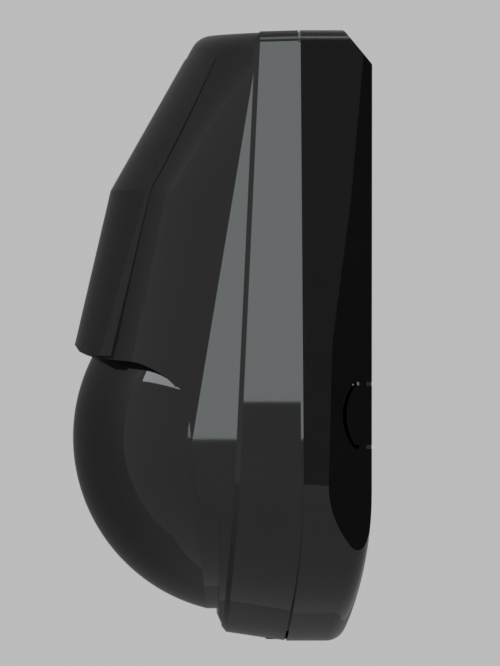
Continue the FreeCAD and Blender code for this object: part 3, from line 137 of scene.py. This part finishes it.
def solder_mask_board(thread_mm=0.5, weave_height_mm=0.012):
    """Green lacquer over woven glass: a faint square weave shows in its gloss.

    The wave texture's bands are 0.314 m apart at a scale of 1.
    """
    material, tree, shader = surface("solder_mask_on_glass_weave", "#14603a", 0.3)
    place = add(tree, "ShaderNodeTexCoord").outputs["Object"]
    threads = [add(tree, "ShaderNodeTexWave",
                   {"wave_type": "BANDS", "bands_direction": axis},
                   {"Scale": 0.314 / (thread_mm * MM), "Distortion": 0.4},
                   {"Vector": place}).outputs["Fac"] for axis in ("X", "Z")]
    weave = add(tree, "ShaderNodeMath", {"operation": "MULTIPLY"},
                links={0: threads[0], 1: threads[1]})
    relief(tree, weave.outputs["Value"], weave_height_mm, shader)
    mottle(tree, noise(tree, 9.0, 3.0), "#125b35", "#1b7145", shader.inputs["Base Color"])
    return material


# ABS, injection moulded in a polished tool with a very fine grain: clear reflections with
# crisp ends over near-black, broken a little by the grain.
charcoal_abs = moulded("polished_charcoal_abs", "#0d0d0e", "#101010", 0.010, 0.35, 0.00004,
                       IOR=1.53)
# High-density polyethylene, the one plastic that lets heat rays through, tinted black: a clear
# sheen on a dome with very slight waves.
tinted_polyethylene = moulded(
    "tinted_polyethylene_lens", "#0f0f0e", "#131312", 0.03, 3.0, 0.0003, IOR=1.52)
# Black nylon and epoxy mouldings: flat, even and a little dusty.
nylon_mouldings = moulded("black_nylon_mouldings", "#121213", "#181819", 0.5, 0.25, 0.006)
# Blackened steel: dark, with a metallic edge.
blackened_steel = plated("blackened_steel_screw", "#1d1d1f", "#2c2c2f", 0.38, 1.2)
# Tin and zinc plating: bright and slightly clouded.
bright_plating = plated("bright_tin_plating", "#b9babd", "#d0d1d4", 0.26, 1.6)
# Drawn spring wire: bright, with fine die marks.
drawn_wire = plated("drawn_spring_wire", "#a2a3a7", "#c2c3c7", 0.26, 0.6)
# Coated silicon window: a dark mirror with a bluish cast.
silicon_filter = moulded("coated_silicon_filter", "#23262e", "#2b2f3a", 0.08, 1.0, 0.0002)
# Tinted epoxy lamp body: clear red, glossy.
red_epoxy = moulded("clear_red_epoxy", "#7d0f0b", "#97150f", 0.1, 1.0, 0.0004)
# Polyamide terminal block: satin green.
green_polyamide = moulded("green_polyamide_terminals", "#2c7446", "#368a55", 0.42, 0.3, 0.004)
# Acetal plunger: milky white with a low sheen.
white_acetal = moulded("white_acetal_plunger", "#d3d3cc", "#e0e0da", 0.36, 0.4, 0.003)
# Polyester relay case: off-white.
pale_polyester = moulded("pale_polyester_relay", "#c8c8bf", "#d6d6cd", 0.38, 0.3, 0.003)
# Capacitor can: drawn aluminium.
drawn_aluminium = plated("drawn_aluminium_can", "#a9aaac", "#c0c1c3", 0.34, 0.9)
# Sintered chip parts: brown ceramic.
brown_ceramic = moulded("brown_chip_ceramic", "#3d2e1f", "#57422d", 0.5, 0.2, 0.004)

finishes = {
    "cover_black": charcoal_abs,
    "lens_black": tinted_polyethylene,
    "moulding_black": nylon_mouldings,
    "dark_steel": blackened_steel,
    "plated_steel": bright_plating,
    "spring_steel": drawn_wire,
    "filter_grey": silicon_filter,
    "board_green": solder_mask_board(),
    "led_red": red_epoxy,
    "terminal_green": green_polyamide,
    "plunger_white": white_acetal,
    "relay_white": pale_polyester,
    "capacitor_grey": drawn_aluminium,
    "chip_brown": brown_ceramic,
}
for part in frame["record"]["subparts"]:
    mesh = nodes[part["node"]].data
    mesh.materials.clear()
    mesh.materials.append(finishes[part["material_slot"]])


# Studio: floor, soft boxes, cards and room

low, high = cad_box[0], cad_box[1]
middle = Vector([(near + far) / 2 for near, far in zip(low, high)])


def glowing_paper(name, colour, glow):
    """Matt paper that the camera and reflections see paler than its light makes it."""
    material, tree, shader = surface(name, colour, 0.95)
    ray = add(tree, "ShaderNodeLightPath")
    seen = add(tree, "ShaderNodeMath", {"operation": "MAXIMUM"},
               links={0: ray.outputs["Is Camera Ray"], 1: ray.outputs["Is Glossy Ray"]})
    seen = add(tree, "ShaderNodeMath", {"operation": "MAXIMUM"},
               links={0: seen.outputs["Value"], 1: ray.outputs["Is Transmission Ray"]})
    strength = add(tree, "ShaderNodeMath", {"operation": "MULTIPLY"}, {1: glow},
                   {0: seen.outputs["Value"]})
    shader.inputs["Emission Color"].default_value = linear("#ffffff")
    tree.links.new(strength.outputs["Value"], shader.inputs["Emission Strength"])
    return material


def sheet(name, material, place, corners, on_camera=True):
    """Flat sheet of the studio between four corners, which are given from its place."""
    mesh = bpy.data.meshes.new(name)
    mesh.from_pydata([tuple(corner) for corner in corners], [], [(0, 1, 2, 3)])
    mesh.materials.append(material)
    thing = bpy.data.objects.new(name, mesh)
    thing.location = place
    thing.visible_camera = on_camera
    bpy.context.collection.objects.link(thing)


# One level sheet of pale grey paper, so far down that it merges with the even grey of the room.
FLOOR_DROP = 2.5
FLOOR_HALF_WIDTH = 12.0
FLOOR_GLOW = 0.13
sheet("floor", glowing_paper("floor_paper", "#d8d8d7", FLOOR_GLOW), (0, 0, low[2] - FLOOR_DROP),
      [(x * FLOOR_HALF_WIDTH, y * FLOOR_HALF_WIDTH, 0)
       for x, y in ((1, -1), (-1, -1), (-1, 1), (1, 1))])


def soft_box(name, place, right, up, width, height, radiance, tint):
    """Rectangular soft box with its own right and up directions; it shines against right x up.

    An area lamp of power P and area A has the radiance P / (pi A), so P is worked out from it.
    """
    lamp = bpy.data.lights.new(name, "AREA")
    lamp.shape = "RECTANGLE"
    lamp.size, lamp.size_y = width, height
    lamp.energy = math.pi * width * height * radiance
    lamp.color = linear(tint)[:3]
    thing = bpy.data.objects.new(name, lamp)
    x_axis = Vector(right).normalized()
    z_axis = x_axis.cross(Vector(up)).normalized()
    y_axis = z_axis.cross(x_axis)
    thing.matrix_world = Matrix((
        (x_axis.x, y_axis.x, z_axis.x, place[0]),
        (x_axis.y, y_axis.y, z_axis.y, place[1]),
        (x_axis.z, y_axis.z, z_axis.z, place[2]),
        (0.0, 0.0, 0.0, 1.0)))
    thing.visible_camera = False
    bpy.context.collection.objects.link(thing)


def soft_box_at(name, direction, distance, width, height, radiance, tint):
    """Soft box that faces the middle of the part from a direction, level across its width."""
    outward = Vector(direction).normalized()
    right = Vector((0, 0, 1)).cross(outward)
    soft_box(name, middle + distance * outward, right, outward.cross(right), width, height,
             radiance, tint)


# The strips on the flat sides: two soft boxes next to each other beside the camera. Their level
# lower edges end the reflections on the rim and on the wedge at crisp lines.
STRIP_DISTANCE = 1.5
STRIP_HEIGHT = 0.50
STRIP_RADIANCE = 2.75
for name, across, width, lower_edge in (("rim_strip_box", -0.130, 0.110, -0.0268),
                                        ("wedge_strip_box", -0.030, 0.090, -0.0360)):
    soft_box(name, (STRIP_DISTANCE, across, lower_edge + STRIP_HEIGHT / 2), (0, 1, 0), (0, 0, 1),
             width, STRIP_HEIGHT, STRIP_RADIANCE, "#f3fdff")
# The highlight on the lens: a box before the face, above it and to the camera's side.
soft_box_at("lens_box", (0.335, -0.755, 0.565), 1.2, 0.74, 0.26, 4.7, "#f3f9ff")
# Even light on the sides, the front and the top: large boxes high round the part.
HIGH_RADIANCE = 1.8
for name, direction, distance, width in (("high_right_box", (0.62, 0.10, 0.78), 1.3, 1.0),
                                         ("high_left_box", (-0.62, 0.10, 0.78), 1.3, 1.0),
                                         ("high_front_box", (-0.45, -0.45, 0.77), 1.5, 0.7)):
    soft_box_at(name, direction, distance, width, 0.5, HIGH_RADIANCE, "#ffffff")


def upright_card(name, material, radius, start_deg, end_deg, bottom, top):
    """Flat card between two azimuths round the part, counted from +X towards +Y.

    It keeps light off one side and shows as a dark field in the gloss; no camera sees it.
    """
    ends = [radius * Vector((math.cos(turn), math.sin(turn), 0))
            for turn in (math.radians(start_deg), math.radians(end_deg))]
    centre = (ends[0] + ends[1]) / 2 + Vector((0, 0, (bottom + top) / 2))
    corners = [Vector((end.x, end.y, height)) - centre
               for end, height in zip((*ends, *reversed(ends)), (bottom, bottom, top, top))]
    sheet(name, material, centre, corners, on_camera=False)


def graded_paper(name, middle_shade, outer_shade, reach):
    """Grey paper that pales evenly from the card's middle out to a reach in metres."""
    material, tree, shader = surface(name, outer_shade, 0.9)
    place = add(tree, "ShaderNodeTexCoord").outputs["Object"]
    distance = add(tree, "ShaderNodeVectorMath", {"operation": "LENGTH"}, links={0: place})
    share = add(tree, "ShaderNodeMapRange", {"interpolation_type": "SMOOTHSTEP"},
                {"From Min": 0.0, "From Max": reach}, {"Value": distance.outputs["Value"]})
    ramp = add(tree, "ShaderNodeValToRGB", links={"Fac": share.outputs["Result"]})
    for stop, shade in zip(ramp.color_ramp.elements, (middle_shade, outer_shade)):
        stop.color = linear(shade)
    tree.links.new(ramp.outputs["Color"], shader.inputs["Base Color"])
    return material


# Two dark flags and a grey card on the wall side set the level of the rear facet and side. The
# large card before the front and behind the far side keeps the pale room out of the gloss
# along the part's outline.
dark_cloth = surface("dark_flag_cloth", "#5c5c5c", 0.9)[0]
grey_card = surface("grey_card", "#bababa", 0.9)[0]
large_card = graded_paper("graded_front_card", "#767676", "#dadada", 1.10)
for name, material, radius, start_deg, end_deg, bottom, top in (
        ("rear_side_card", grey_card, 0.60, 3.6, 26.0, -0.045, 0.30),
        ("wall_side_flag_right", dark_cloth, 0.60, 26.0, 85.0, -0.10, 0.42),
        ("wall_side_flag_left", dark_cloth, 0.60, 95.0, 154.0, -0.10, 0.42),
        ("front_card", large_card, 0.90, -200.0, -90.0, -1.20, 1.05)):
    upright_card(name, material, radius, start_deg, end_deg, bottom, top)

# The room: an even grey all round.
ROOM_LEVEL = 0.50
world = bpy.data.worlds.new("room")
bpy.context.scene.world = world
world.use_nodes = True
background = world.node_tree.nodes["Background"]
background.inputs["Color"].default_value = linear("#ffffff")
background.inputs["Strength"].default_value = ROOM_LEVEL


# Camera: level, and square to the side but for a slight turn towards the front. The scale of
# 0.18 mm a pixel holds half way between the middle of the part and its near side. In the picture
# the wall plane lies 369.5 pixels from the left and the height 0 lies 278 pixels from the top.

PIXEL_MM = 0.18
PICTURE_WIDTH, PICTURE_HEIGHT = 500, 666
WALL_PLANE_X, ZERO_HEIGHT_Y = 369.5, 278.0
CAMERA_DISTANCE = 4.0
CAMERA_TURN = math.radians(-0.75)
SCALE_PLANE = high[0] / 2
SENSOR_MM = 24.0
aim = Vector((0, (PICTURE_WIDTH / 2 - WALL_PLANE_X) * PIXEL_MM * MM,
              (ZERO_HEIGHT_Y - PICTURE_HEIGHT / 2) * PIXEL_MM * MM))
camera_data = bpy.data.cameras.new("camera")
camera = bpy.data.objects.new("camera", camera_data)
bpy.context.collection.objects.link(camera)
camera.location = aim + CAMERA_DISTANCE * Vector(
    (math.cos(CAMERA_TURN), math.sin(CAMERA_TURN), 0))
camera.rotation_euler = (math.radians(90), 0, math.radians(90) + CAMERA_TURN)
camera_data.sensor_fit = "VERTICAL"
camera_data.sensor_height = SENSOR_MM
camera_data.lens = SENSOR_MM * (CAMERA_DISTANCE - SCALE_PLANE) / (PICTURE_HEIGHT * PIXEL_MM * MM)
camera_data.clip_start = 0.01
camera_data.clip_end = 20.0
bpy.context.scene.camera = camera
bpy.context.scene.view_settings.view_transform = "Standard"
